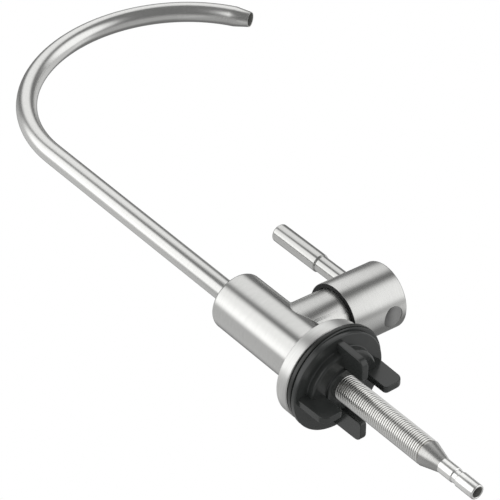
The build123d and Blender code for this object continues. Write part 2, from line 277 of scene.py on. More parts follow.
@dataclass(frozen=True)
class Moulded:
    """Moulded or sintered solid: plastic, rubber or ceramic.

    The eye sees a plain dull body whose fine mould texture spreads each highlight into a soft glow.
    """

    name: str
    light: str
    dark: str
    roughness: float
    roughness_change: float = 0.08
    grain: float = 0.5
    grain_depth: float = 0.003
    patch: float = 7.0
    ior: float = 1.5
    painted_shade_from: float = 0.0
    painted_shade_to: float = 0.0

    @cache
    def material(self) -> Material:
        """Build the material, once for all pieces that use it.

        Returns:
            A non-metal with mould texture and slow patches of gloss; its colour varies in slow patches,
            unless a range along X is set, where it is painted shade.
        """
        material = blank_material(self.name)
        tree = material.node_tree
        place = add_node(tree, "TexCoord").outputs["Object"]
        fine = add_node(tree, "TexNoise", {"Vector": place, "Scale": 1 / (self.grain * MM), "Detail": 3.0,
                                           "Roughness": 0.65}).outputs["Fac"]
        slow = add_node(tree, "TexNoise", {"Vector": place, "Scale": 1 / (self.patch * MM),
                                           "Detail": 4.0}).outputs["Fac"]
        # Painted shade: where a range along X is set, the colour darkens smoothly towards its low end instead
        # of in patches.
        if self.painted_shade_to:
            side = add_node(tree, "SeparateXYZ", {0: place}).outputs[0]
            cloud = add_node(tree, "MapRange", {
                "Value": side, "From Min": self.painted_shade_from * MM, "From Max": self.painted_shade_to * MM},
                interpolation_type="SMOOTHSTEP").outputs[0]
        else:
            cloud = add_node(tree, "MapRange", {"Value": slow, **SHARP_NOISE}).outputs[0]
        colour = add_node(tree, "Mix", {0: cloud, 6: linear(self.dark), 7: linear(self.light)},
                          data_type="RGBA").outputs[2]
        half = self.roughness_change / 2
        rough = add_node(tree, "MapRange", {"Value": slow, **FULL_NOISE, "To Min": self.roughness - half,
                                            "To Max": self.roughness + half}).outputs[0]
        shade(tree, fine, self.grain_depth, {"Base Color": colour, "Metallic": 0.0, "Roughness": rough,
                                             "IOR": self.ior})
        return material


Finish = TurnedMetal | Moulded


@dataclass(frozen=True)
class SoftPanel:
    """One soft panel of the light tent, by the direction in which the faucet sees it."""

    azimuth: float
    elevation: float
    half_width: float
    half_height: float
    strength: float
    edge: float = 0.4
    least_depth: float = 0.02

    def brightness(self, tree: NodeTree, towards: NodeSocket) -> NodeSocket:
        """Brightness that the panel adds.

        Args:
            tree: Node tree of the tent's cloth.
            towards: Unit direction from the faucet.

        Returns:
            The panel's strength inside its outline, fading to nothing at its edge.
        """
        swing, rise = math.radians(self.azimuth), math.radians(self.elevation)
        ahead = Vector((math.cos(swing) * math.cos(rise), math.sin(swing) * math.cos(rise), math.sin(rise)))
        right = Vector((-math.sin(swing), math.cos(swing), 0))
        depth, *offs = [add_node(tree, "VectorMath", {0: towards, 1: way},
                                 operation="DOT_PRODUCT").outputs["Value"]
                        for way in (ahead, right, ahead.cross(right))]
        reach = add_node(tree, "Math", {0: depth, 1: self.least_depth}, operation="MAXIMUM").outputs[0]
        spans = []
        for off, half in zip(offs, (self.half_width, self.half_height)):
            span = add_node(tree, "Math", {0: reach, 1: math.tan(math.radians(half))},
                            operation="MULTIPLY").outputs[0]
            spans.append(add_node(tree, "Math", {0: off, 1: span}, operation="DIVIDE").outputs[0])
        flat = add_node(tree, "CombineXYZ", dict(enumerate(spans))).outputs[0]
        swerve = add_node(tree, "VectorMath", {0: flat}, operation="LENGTH").outputs["Value"]
        fade = add_node(tree, "MapRange", {
            "Value": swerve, "From Min": 1 - self.edge, "From Max": 1 + self.edge, "To Min": self.strength,
            "To Max": 0.0}, interpolation_type="SMOOTHSTEP").outputs[0]
        front = add_node(tree, "Math", {0: depth, 1: 0.0}, operation="GREATER_THAN").outputs[0]
        return add_node(tree, "Math", {0: fade, 1: front}, operation="MULTIPLY").outputs[0]


def edit() -> None:
    """Go into edit mode."""
    bpy.ops.object.mode_set(mode="EDIT")


def leave() -> None:
    """Go back to object mode."""
    bpy.ops.object.mode_set(mode="OBJECT")


def deselect() -> None:
    """Leave every mode and deselect everything."""
    if bpy.context.object and bpy.context.object.mode != "OBJECT":
        leave()
    bpy.ops.object.select_all(action="DESELECT")


def activate(piece: Object) -> None:
    """Make one piece the only selected one, and the active one.

    Args:
        piece: The piece.
    """
    deselect()
    piece.select_set(True)
    bpy.context.view_layer.objects.active = piece


def clear_selection(piece: Object) -> None:
    """Leave no point, edge or face of a piece selected.

    Args:
        piece: The piece.
    """
    activate(piece)
    edit()
    bpy.ops.mesh.select_all(action="DESELECT")
    leave()


def apply_place() -> None:
    """Move the selected object's place, turn and scale into its mesh."""
    bpy.ops.object.transform_apply()


def apply_modifier(piece: Object, kind: str, **settings: Any) -> None:
    """Change the active piece's mesh by one modifier.

    Args:
        piece: The piece, which is active.
        kind: Type of the modifier.
        **settings: Properties of the modifier.
    """
    modifier = piece.modifiers.new(kind.lower(), kind)
    for name, value in settings.items():
        setattr(modifier, name, value)
    bpy.ops.object.modifier_apply(modifier=modifier.name)


def smooth(piece: Object, angle: float = 32.0) -> None:
    """Shade a piece smooth where its faces meet at less than an angle."""
    activate(piece)
    bpy.ops.object.shade_smooth_by_angle(angle=math.radians(angle))


def merge_points() -> None:
    """Merge the doubled points of the piece in edit mode, all of which stays selected."""
    bpy.ops.mesh.select_all(action="SELECT")
    bpy.ops.mesh.remove_doubles(threshold=MERGE_DISTANCE * MM)


def close_shell() -> None:
    """Merge doubled points, turn all faces outwards, leave edit mode and smooth the piece."""
    merge_points()
    bpy.ops.mesh.normals_make_consistent()
    leave()
    apply_place()
    smooth(bpy.context.object)


def rounded(corners: Sequence[Corner], chords: int = 5) -> list[Vector]:
    """Turn corners into outline points, each rounded corner into an arc.

    Args:
        corners: Corners in order.
        chords: Chords in each arc.

    Returns:
        Points as (along, out).
    """
    places = [Vector(corner[:2]) for corner in corners]
    points: list[Vector] = []
    for index, (here, corner) in enumerate(zip(places, corners)):
        if len(corner) < 3:
            points.append(here)
            continue
        back = (places[index - 1] - here).normalized()
        ahead = (places[(index + 1) % len(places)] - here).normalized()
        half = back.angle(ahead) / 2
        centre = here + (back + ahead).normalized() * corner[2] / math.sin(half)
        start = here + back * corner[2] / math.tan(half) - centre
        stop = here + ahead * corner[2] / math.tan(half) - centre
        sweep = math.atan2(start.cross(stop), start.dot(stop))
        points += [centre + Matrix.Rotation(sweep * step / chords, 2) @ start for step in range(chords + 1)]
    return points


def draw(name: str, points: Sequence[Vector]) -> Object:
    """Draw a line of edges from point to point, and stay in edit mode.

    Args:
        name: Name of the new object.
        points: Places in metres.

    Returns:
        The new object, with its last point selected.
    """
    deselect()
    bpy.ops.mesh.primitive_plane_add(size=MM, location=points[0])
    piece = bpy.context.object
    piece.name = piece.data.name = name
    edit()
    bpy.ops.mesh.merge(type="CENTER")
    for here, there in zip(points, points[1:]):
        bpy.ops.mesh.extrude_vertices_move(TRANSFORM_OT_translate={"value": there - here})
    return piece


def turn(name: str, spindle: Spindle, corners: Sequence[Corner], steps: Steps = Steps.RING) -> Object:
    """Turn a closed outline into a solid of revolution, as on a lathe.

    Args:
        name: Name of the piece.
        spindle: Axis of the lathe.
        corners: Outline in millimetres, from its first corner back to it, or from the axis to the axis.
        steps: Steps of the full turn.

    Returns:
        The finished piece, smooth except at its sharp edges.
    """
    points = [spindle.point(*point) for point in rounded(corners)]
    if corners[0][1]:
        points.append(points[0])
    piece = draw(name, points)
    bpy.ops.mesh.select_all(action="SELECT")
    bpy.ops.mesh.spin(steps=steps.value, angle=math.tau, center=Vector(spindle.centre) * MM,
                      axis=spindle.axis)
    close_shell()
    return piece


def drill(name: str, spindle: Spindle, radius: float, start: float, stop: float) -> Object:
    """Make a tool solid for a round hole.

    Args:
        name: Name of the tool.
        spindle: Axis of the hole.
        radius: Radius in millimetres.
        start: Where it starts along the axis.
        stop: Where it stops along the axis.

    Returns:
        The tool.
    """
    outline = [(start, 0), (start, radius), (stop, radius), (stop, 0)]
    return turn(name, spindle, outline, Steps.HOLE)


def combine(piece: Object, way: Way, tools: Sequence[Object]) -> None:
    """Unite or cut a piece with tool solids, which are used up.

    Args:
        piece: The piece that is changed.
        way: Whether the tools are added or taken away.
        tools: Closed solids.
    """
    for tool in tools:
        activate(piece)
        apply_modifier(piece, "BOOLEAN", operation=way.value, solver="EXACT", object=tool)
        bpy.data.objects.remove(tool)


def break_edges(piece: Object, width: float, segments: int = 2) -> None:
    """Bevel a piece's sharp edges.

    Args:
        piece: The piece.
        width: Width of the bevel in millimetres.
        segments: Steps across the bevel.
    """
    activate(piece)
    apply_modifier(piece, "BEVEL", width=width * MM, segments=segments, limit_method="ANGLE",
                   angle_limit=math.radians(EDGE_ANGLE))
    smooth(piece)


@dataclass
class Studio:
    """Camera at the photograph's angle, a white tent with soft panels, and a pale floor."""

    camera_place: tuple[float, float, float] = (-0.50320, -0.59828, -0.56206)
    camera_right: tuple[float, float, float] = (0.78735505, -0.0324443, -0.61564551)
    camera_up: tuple[float, float, float] = (0.33831696, -0.81207579, 0.47547296)
    camera_back: tuple[float, float, float] = (-0.5153772, -0.58264936, -0.62841552)
    camera_reach: tuple[float, float] = (0.01, 50.0)
    lens: float = 177.6
    sensor: float = 36.0
    tent_radius: float = 9.0
    tent_glow: float = 0.22
    floor_height: float = -1.4
    floor_radius: float = 4.0
    floor_sides: int = 128
    floor_fade: tuple[float, float] = (0.25, 3.6)
    floor_white: float = 0.55
    panels: list[SoftPanel] = field(default_factory=lambda: [
        SoftPanel(-151, 30, 30, 38, 1.18, 0.32),
        SoftPanel(-60, 43, 25, 28, 0.92),
        SoftPanel(-40, -36, 28, 32, 1.15),
        SoftPanel(14, -10, 27, 46, 0.50, 0.25),
        SoftPanel(140, 50, 42, 32, 0.45, 0.5),
        SoftPanel(100, -62, 55, 30, 0.28),
        SoftPanel(145, -15, 42, 22, 0.22),
    ])

    def build(self) -> None:
        """Set up the camera, the world, the tent and the floor."""
        self.place_camera()
        self.light_world()
        self.raise_tent()
        self.lay_floor()
        log.info("studio: camera, tent with %d soft panels, floor", len(self.panels))

    def place_camera(self) -> None:
        """Add the camera where the photograph was taken from."""
        lens = bpy.data.cameras.new("camera")
        lens.lens, lens.sensor_width = self.lens, self.sensor
        lens.clip_start, lens.clip_end = self.camera_reach
        camera = bpy.data.objects.new("camera", lens)
        bpy.context.scene.collection.objects.link(camera)
        tilt = Matrix((self.camera_right, self.camera_up, self.camera_back)).transposed().to_4x4()
        camera.matrix_world = Matrix.Translation(self.camera_place) @ tilt
        bpy.context.scene.camera = camera
        bpy.context.scene.view_settings.view_transform = "Standard"

    def light_world(self) -> None:
        """Set a white background behind everything, and a plain soft grey for the light that it gives."""
        world = bpy.data.worlds.new("studio")
        world.use_nodes = True
        tree = world.node_tree
        tree.nodes.clear()
        path = add_node(tree, "LightPath")
        seen = path.outputs["Is Camera Ray"]
        for ray in ("Is Glossy Ray", "Is Transmission Ray"):
            seen = add_node(tree, "Math", {0: seen, 1: path.outputs[ray]}, operation="MAXIMUM").outputs[0]
        grey, white = [add_node(tree, "Background", {"Color": linear(colour), "Strength": 1.0}).outputs[0]
                       for colour in ("#f4f4f4", "#ffffff")]
        mix = add_node(tree, "MixShader", {0: seen, 1: grey, 2: white})
        add_node(tree, "OutputWorld", {"Surface": mix.outputs[0]})
        bpy.context.scene.world = world

    def raise_tent(self) -> None:
        """Put the faucet inside a large tent of cloth, lit by its soft panels."""
        deselect()
        bpy.ops.mesh.primitive_ico_sphere_add(subdivisions=5, radius=self.tent_radius)
        tent = bpy.context.object
        tent.name = "light_tent"
        bpy.ops.object.shade_smooth()
        material = blank_material("tent_cloth")
        tree = material.node_tree
        place = add_node(tree, "TexCoord").outputs["Object"]
        towards = add_node(tree, "VectorMath", {0: place}, operation="NORMALIZE").outputs[0]
        glow: Any = self.tent_glow
        for panel in self.panels:
            glow = add_node(tree, "Math", {0: glow, 1: panel.brightness(tree, towards)},
                            operation="ADD").outputs[0]
        shine = add_node(tree, "Emission", {"Color": linear("#ffffff"), "Strength": glow})
        add_node(tree, "OutputMaterial", {"Surface": shine.outputs[0]})
        material.cycles.emission_sampling = "NONE"
        tent.data.materials.append(material)
        tent.visible_camera = tent.visible_diffuse = tent.visible_shadow = False

    def lay_floor(self) -> None:
        """Lay a pale floor under the camera, which fades to white far from the faucet."""
        deselect()
        bpy.ops.mesh.primitive_circle_add(vertices=self.floor_sides, radius=self.floor_radius,
                                          fill_type="NGON", location=(0, 0, self.floor_height))
        floor = bpy.context.object
        floor.name = "floor"
        apply_place()
        material = blank_material("white_paper_sweep")
        tree = material.node_tree
        place = add_node(tree, "TexCoord").outputs["Object"]
        flat = add_node(tree, "VectorMath", {0: place, 1: (1, 1, 0)}, operation="MULTIPLY").outputs[0]
        off = add_node(tree, "VectorMath", {0: flat}, operation="LENGTH").outputs["Value"]
        near, far = self.floor_fade
        fade = add_node(tree, "MapRange", {"Value": off, "From Min": near, "From Max": far,
                                           "To Min": self.floor_white},
                        interpolation_type="SMOOTHSTEP").outputs[0]
        paper = add_node(tree, "BsdfDiffuse", {"Color": linear("#f4f4f2")})
        white = add_node(tree, "Emission", {"Color": linear("#ffffff"), "Strength": 1.0})
        mix = add_node(tree, "MixShader", {0: fade, 1: paper.outputs[0], 2: white.outputs[0]})
        add_node(tree, "OutputMaterial", {"Surface": mix.outputs[0]})
        floor.data.materials.append(material)
        floor.visible_diffuse = floor.visible_glossy = floor.visible_transmission = False
        floor.visible_shadow = False


# Stainless steel sheet and bar, brushed with 180 grit round its axis. The real scratches are 0.05 mm wide,
# too fine to show, so they are drawn 0.25 mm wide and faint: a satin sheen with soft bands.
STEEL = TurnedMetal("brushed_stainless_column", COLUMN_AXIS, "#d0d0ce", "#c8c8c6", 0.22, 0.05,
                    line_width=0.25, anisotropy=0.7)
# The branch and the drum are brushed a little rougher, so their highlights spread wider.
STEEL_BRANCH = replace(STEEL, name="brushed_stainless_branch", spindle=BRANCH_AXIS, roughness=0.27)
# The flange's rim keeps the coarser marks of its turning, so its highlights run wider and paler.
FLANGE_STEEL = TurnedMetal("turned_stainless_flange", COLUMN_AXIS, "#e2e2e0", "#d2d2d0", 0.38, 0.08,
                           line_length=8.0, line_width=0.3, line_depth=0.0015, anisotropy=0.4)
# Drawn stainless tube, satin polished on a belt: a pale, even sheen with a fine grain across the run.
TUBE_STEEL = TurnedMetal("satin_stainless_tube", COLUMN_AXIS, "#dcdcda", "#d2d2d0", 0.24, 0.03,
                         line_length=2.5, line_width=0.3, line_depth=0.0003, anisotropy=0.0,
                         unrolled="unrolled")
# Stainless bar, turned and then polished on a belt: brighter bands than the brushed drum has.
LEVER_STEEL = TurnedMetal("satin_stainless_lever", LEVER_AXIS, "#cececc", "#c4c4c2", 0.20, 0.05,
                          line_length=3.0, line_width=0.25, anisotropy=0.5)
# Bore of drawn tube and of the drilled shank: left rough and oxidised, so it shows as an even dark grey.
BORE = Moulded("oxidised_bore", "#7c7c79", "#6e6e6b", 0.60, 0.10, grain=0.3, grain_depth=0.004, patch=3.0)
# Nickel plate on turned brass: a bright, soft sheen, as the tool marks under it spread what it mirrors.
NICKEL = TurnedMetal("nickel_plated_brass", COLUMN_AXIS, "#f2f2f0", "#e8e8e6", 0.24, 0.06, anisotropy=0.2)
# The same plate over the rolled thread: its roots are painted darker as shade, which draws every turn as a
# dark line.
THREAD = replace(NICKEL, name="nickel_plated_thread", light="#f6f6f4", roughness=0.22, roughness_change=0.08,
                 root=4.8, crest=5.25)
# The plated cone under the thread keeps the coarse rings of its cutting, and looks duller than the stub.
CONE = TurnedMetal("nickel_plated_cone", COLUMN_AXIS, "#d6d6d4", "#c2c2c0", 0.30, line_length=6.0,
                   line_width=0.3, line_depth=0.003)
# Free-cutting brass straight from the lathe: yellow, with rings left by the tool.
BRASS = TurnedMetal("machined_brass", BRANCH_AXIS, "#c9a35a", "#b08a48", 0.28, line_length=4.0,
                    line_depth=0.004, anisotropy=0.4)
# Cold-rolled spring steel strip: dull grey with a light rolled grain.
SPRING = TurnedMetal("spring_steel", COLUMN_AXIS, "#a8a8a6", "#8c8c8a", 0.30, line_length=3.0,
                     line_depth=0.003)
# Black nylon from a polished mould: nearly black, with a soft gloss that lights its edges.
NYLON = Moulded("moulded_black_nylon", "#2f3130", "#2a2c2b", 0.22, grain_depth=0.002)
# The ring in the drum's mouth is the same nylon, rubbed matt by the branch; its colour is made darker than
# the nylon's own as painted shade for the shadow it sits in, so it looks jet black.
RING_NYLON = Moulded("painted_shade_black_nylon", "#202121", "#1a1b1b", 0.55, 0.10, ior=1.45)
# Pressed nitrile rubber, skinned by its mould: black, with a low even shine.
RUBBER = Moulded("black_nitrile_rubber", "#20221f", "#191b19", 0.26, grain=0.6, patch=5.0, ior=1.52)
# Mid-grey ABS plug with a satin mould skin; its colour is painted darker on the side towards the column, as
# painted shade.
PLUG = Moulded("grey_abs_plug", "#848483", "#363635", 0.32, grain=0.4, patch=4.0, painted_shade_from=39.6,
               painted_shade_to=47.0)
# Sintered and lapped alumina: warm white and glassy smooth.
CERAMIC = Moulded("lapped_alumina", "#efece4", "#e6e2d8", 0.22, 0.06, grain=0.3, grain_depth=0.002, patch=3.0,
                  ior=1.76)

FINISH_OF_SLOT = {
    "brushed_steel": STEEL, "polished_steel": TUBE_STEEL, "nickel_brass": NICKEL, "brass": BRASS,
    "black_rubber": RUBBER, "black_plastic": NYLON, "grey_plastic": PLUG, "ceramic": CERAMIC,
    "spring_steel": SPRING,
}


def coat(piece: Object, *used: Finish) -> None:
    """Append the materials of the used finishes to a piece."""
    for finish in used:
        piece.data.materials.append(finish.material())


def hand_over(piece: Object, body: str, slot: str, node: str, *used: Finish) -> None:
    """Give a piece its finishes, body and CAD node, and report it.

    Args:
        piece: The piece.
        body: Body that it rides on.
        slot: Material slot of the record; not used.
        node: CAD node that it stands for.
        *used: Its finishes, in the order of its faces' material numbers.
    """
    coat(piece, *used)
    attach(piece, body)
    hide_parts(node)
    log.info("%s: %d faces on %s", piece.name, len(piece.data.polygons), body)


@dataclass
class Column:
    """Column with its brazed side branch and the bush in its top."""

    radius: float = 12.8
    foot: float = 5.1
    top: float = 59.2
    top_edge: float = 1.5
    branch_radius: float = 12.2
    branch_end: float = 27.0
    shank_hole: float = 5.6
    shank_hole_top: float = 17.5
    socket_radius: float = 7.0
    socket_floor: float = 42.0
    ring_groove_radius: float = 8.0
    ring_groove: tuple[float, float] = (54.0, 55.1)
    chamber_radius: float = 8.6
    chamber_floor: float = -2.5
    seam: float = 0.3
    seam_reach: float = 0.01
    wall_reach: float = 0.02
    bush_inner: float = 4.8
    bush_outer: float = 6.95
    bush_foot: float = 56.0

    def build(self) -> None:
        """Build the column and its bush."""
        self.build_body()
        self.build_bush()

    def build_body(self) -> None:
        """Turn the column and the branch, unite them and bore them."""
        low, high = self.ring_groove
        column = turn("column", COLUMN_AXIS, [
            (self.shank_hole_top, 0), (self.shank_hole_top, self.shank_hole), (self.foot, self.shank_hole),
            (self.foot, self.radius), (self.top, self.radius, self.top_edge),
            (self.top, self.socket_radius, LIGHT), (high, self.socket_radius),
            (high, self.ring_groove_radius), (low, self.ring_groove_radius), (low, self.socket_radius),
            (self.socket_floor, self.socket_radius), (self.socket_floor, 0)], Steps.BODY)
        branch = turn("branch", BRANCH_AXIS, [
            (0, 0), (0, self.branch_radius), (self.branch_end, self.branch_radius, PLAIN),
            (self.branch_end, 0)], Steps.BODY)
        combine(column, Way.UNITE, [branch])
        combine(column, Way.CUT, [drill("chamber", BRANCH_AXIS, self.chamber_radius, self.chamber_floor,
                                        self.branch_end + OVERSHOOT)])
        self.ease_saddle(column)
        smooth(column)
        used = (STEEL, STEEL_BRANCH, FLANGE_STEEL)
        for face in column.data.polygons:
            face.material_index = used.index(self.finish_at(face))
        hand_over(column, "faucet", "brushed_steel", "faucet_body", *used)

    def ease_saddle(self, column: Object) -> None:
        """Bevel the line where the branch meets the column, where the brazing leaves a fine pale seam.

        Args:
            column: The column, united with its branch. The seam's faces stay selected.
        """
        clear_selection(column)
        for edge in column.data.edges:
            ends = [column.data.vertices[vertex].co / MM for vertex in edge.vertices]
            edge.select = all(
                abs(math.hypot(end.x, end.y) - self.radius) < self.seam_reach
                and abs(math.hypot(end.y, end.z - BRANCH_HEIGHT) - self.branch_radius) < self.seam_reach
                for end in ends)
        edit()
        bpy.ops.mesh.bevel(offset=self.seam * MM, segments=1)
        leave()

    def finish_at(self, face: MeshPolygon) -> TurnedMetal:
        """Finish of one face.

        Args:
            face: Face of the column, selected if it belongs to the seam.

        Returns:
            The finish of the seam, the branch or the column.
        """
        if face.select:
            return FLANGE_STEEL
        middle = face.center / MM
        outside = math.hypot(middle.x, middle.y) > self.radius + self.wall_reach
        return STEEL_BRANCH if outside else STEEL

    def build_bush(self) -> None:
        """Turn the bush that centres the spout."""
        bush = turn("top_bush", COLUMN_AXIS, [
            (self.bush_foot, self.bush_inner, LIGHT), (self.bush_foot, self.bush_outer, LIGHT),
            (self.top, self.bush_outer, PLAIN), (self.top, self.bush_inner, EASED)], Steps.SLIM)
        hand_over(bush, "faucet", "black_plastic", "spout_bush", NYLON)


@dataclass(frozen=True)
class Washer:
    """Flat ring of the stack that clamps the deck."""

    name: str
    node: str
    body: str
    slot: str
    finish: Moulded
    spindle: Spindle
    hole: float
    radius: float
    low: float
    high: float
    edge: float


@dataclass
class DeckPlate:
    """Round flange and the gaskets and washers that clamp the deck."""

    radius: float = 21.6
    thick: float = 6.1
    edge: float = 0.6
    seat_radius: float = 12.85
    seat_floor: float = 5.1
    hole: float = 5.6
    washers: list[Washer] = field(default_factory=lambda: [
        Washer("flange_gasket", "deck_gasket", "faucet", "black_rubber", RUBBER, COLUMN_AXIS,
               hole=5.9, radius=20.9, low=-1.1, high=0.0, edge=0.2),
        Washer("under_gasket", "clamp_gasket", "washers", "black_rubber", RUBBER, WASHER_AXIS,
               hole=7.05, radius=22.7, low=-2.7, high=-1.1, edge=0.25),
        Washer("hard_washer", "slip_washer", "washers", "black_plastic", NYLON, WASHER_AXIS,
               hole=7.05, radius=22.2, low=-3.7, high=-2.7, edge=0.15),
    ])

    def build(self) -> None:
        """Build the flange, the two gaskets and the washer."""
        flange = turn("deck_flange", COLUMN_AXIS, [
            (0, self.hole, LIGHT), (0, self.radius, self.edge), (self.thick, self.radius, self.edge),
            (self.thick, self.seat_radius, FINE), (self.seat_floor, self.seat_radius),
            (self.seat_floor, self.hole)], Steps.RIM)
        hand_over(flange, "faucet", "brushed_steel", "base_flange", FLANGE_STEEL)
        for ring in self.washers:
            piece = turn(ring.name, ring.spindle, [
                (ring.low, ring.hole, ring.edge), (ring.low, ring.radius, ring.edge),
                (ring.high, ring.radius, ring.edge), (ring.high, ring.hole, ring.edge)])
            hand_over(piece, ring.body, ring.slot, ring.node, ring.finish)


@dataclass
class Shank:
    """Shank with its rolled thread, cone and grooved tube stub."""

    top: float = 15.5
    bore: float = 2.25
    seal_groove: tuple[float, float] = (11.3, 12.7)
    seal_floor: float = 4.34
    thread_radius: float = 5.55
    root_radius: float = 4.9
    pitch: float = 25.4 / 24
    thread_top: float = 4.0
    thread_start: float = -58.3
    thread_foot: float = -58.45
    runout: float = 0.6
    ridge_foot: float = 0.44
    ridge_crest: float = 0.08
    ridge_sink: float = 0.15
    steps: int = 56
    collar: float = 0.2
    cone_foot: float = -66.7
    cone_end: float = -67.2
    cone_blend: float = 1.2
    stub_radius: float = 3.175
    groove: tuple[float, float] = (-76.8, -74.0)
    groove_depth: float = 0.35
    groove_slope: float = 0.4
    end: float = -86.0

    def build(self) -> None:
        """Build the shank's core and wind the thread on it."""
        low, high = self.groove
        seal_low, seal_high = self.seal_groove
        groove_radius = self.stub_radius - self.groove_depth
        core = turn("shank", COLUMN_AXIS, [
            (self.top, self.bore), (self.top, self.thread_radius, EASED), (seal_high, self.thread_radius),
            (seal_high, self.seal_floor), (seal_low, self.seal_floor), (seal_low, self.thread_radius),
            (self.thread_top, self.thread_radius), (self.thread_top - self.runout, self.root_radius),
            (self.thread_start, self.root_radius),
            (self.thread_start - self.collar, self.thread_radius, DEBURRED),
            (self.cone_end, self.stub_radius, self.cone_blend), (high, self.stub_radius, FINE),
            (high - self.groove_slope, groove_radius, PLAIN), (low + self.groove_slope, groove_radius, PLAIN),
            (low, self.stub_radius, FINE), (self.end, self.stub_radius, SOFT),
            (self.end, self.bore, PLAIN)], Steps.SLIM)
        thread = self.wind_thread()
        activate(core)
        thread.select_set(True)
        bpy.ops.object.join()
        smooth(core, EDGE_ANGLE)
        used = (NICKEL, BORE, THREAD, CONE)
        for face in core.data.polygons:
            face.material_index = used.index(self.finish_at(face))
        hand_over(core, "faucet", "nickel_brass", "threaded_shank", *used)

    def finish_at(self, face: MeshPolygon) -> Finish:
        """Finish of one face.

        Args:
            face: Face of the shank.

        Returns:
            The finish of the bore, the thread with all above it, the cone or the stub.
        """
        out, rise = math.hypot(face.center.x, face.center.y) / MM, face.center.z / MM
        if out < self.bore + CLEARANCE:
            return BORE
        if rise > self.thread_foot:
            return THREAD
        return CONE if rise > self.cone_foot else NICKEL

    def wind_thread(self) -> Object:
        """Wind one ridge of the thread round the core by a Screw modifier.

        Returns:
            The ridge, its two ends run out into the core.
        """
        half, crest = self.ridge_foot * self.pitch, self.ridge_crest * self.pitch
        inner = self.root_radius - self.ridge_sink
        ridge = [(-half, inner), (-half, self.root_radius), (-crest, self.thread_radius),
                 (crest, self.thread_radius), (half, self.root_radius), (half, inner), (-half, inner)]
        thread = draw("thread", [COLUMN_AXIS.point(self.thread_start + 0.5 * self.pitch + along, out)
                                 for along, out in ridge])
        merge_points()
        bpy.ops.mesh.edge_face_add()
        leave()
        apply_place()
        turns = int((self.thread_top - self.thread_start) / self.pitch) - 1
        apply_modifier(thread, "SCREW", axis="Z", angle=math.tau, screw_offset=self.pitch * MM,
                       iterations=turns, steps=self.steps, render_steps=self.steps)
        edit()
        close_shell()
        return thread


@dataclass
class WingNut:
    """Moulded nut with a wide clamping disc, a stepped hub and four wings."""

    bore: float = 5.63
    top: float = -3.7
    top_edge: float = 0.25
    disc_radius: float = 22.0
    disc_face: float = -6.0
    disc_edge: float = 0.45
    step_radius: float = 16.2
    step_face: float = -9.6
    step_edge: float = 1.0
    boss_radius: float = 9.5
    boss_face: float = -10.8
    wings: int = 4
    wing_inner: float = 10.6
    wing_outer: float = 20.5
    wing_tip: float = 20.1
    wing_root: float = -4.85
    wing_end: float = -21.5
    wing_thick: float = 3.0
    wing_turn: float = -2.5
    outer_corner: float = 3.6
    inner_corner: float = 1.6
    corner_chords: int = 8
    wing_edge: float = 0.35
    wing_edge_steps: int = 3

    def build(self) -> None:
        """Turn the hub and unite it with its wings."""
        hub = turn("wing_nut_moulding", COLUMN_AXIS, [
            (self.top, self.bore, PLAIN), (self.top, self.disc_radius, self.top_edge),
            (self.disc_face, self.disc_radius, self.disc_edge), (self.disc_face, self.step_radius, SOFT),
            (self.step_face, self.step_radius, self.step_edge), (self.step_face, self.boss_radius, EASED),
            (self.boss_face, self.boss_radius, SOFT), (self.boss_face, self.bore, EASED)], Steps.BODY)
        combine(hub, Way.UNITE, [self.wing(index) for index in range(self.wings)])
        smooth(hub)
        hand_over(hub, "nut", "black_plastic", "wing_nut", NYLON)

    def wing(self, index: int) -> Object:
        """Make one wing and turn it to its place.

        Args:
            index: Number of the wing round the nut.

        Returns:
            The wing, a closed solid rooted inside the disc.
        """
        outline = rounded([
            (self.wing_root, self.wing_inner), (self.wing_root, self.wing_outer),
            (self.wing_end, self.wing_tip, self.outer_corner),
            (self.wing_end, self.wing_inner, self.inner_corner)], self.corner_chords)
        half = Vector((0, self.wing_thick / 2, 0)) * MM
        wing = draw("wing", [COLUMN_AXIS.point(*point) - half for point in outline])
        bpy.ops.mesh.select_all(action="SELECT")
        bpy.ops.mesh.edge_face_add()
        bpy.ops.mesh.extrude_region_move(TRANSFORM_OT_translate={"value": 2 * half})
        close_shell()
        break_edges(wing, self.wing_edge, self.wing_edge_steps)
        place = math.radians(self.wing_turn) + index * math.tau / self.wings
        bpy.ops.transform.rotate(value=-place, orient_axis="Z", center_override=(0, 0, 0))
        apply_place()
        return wing


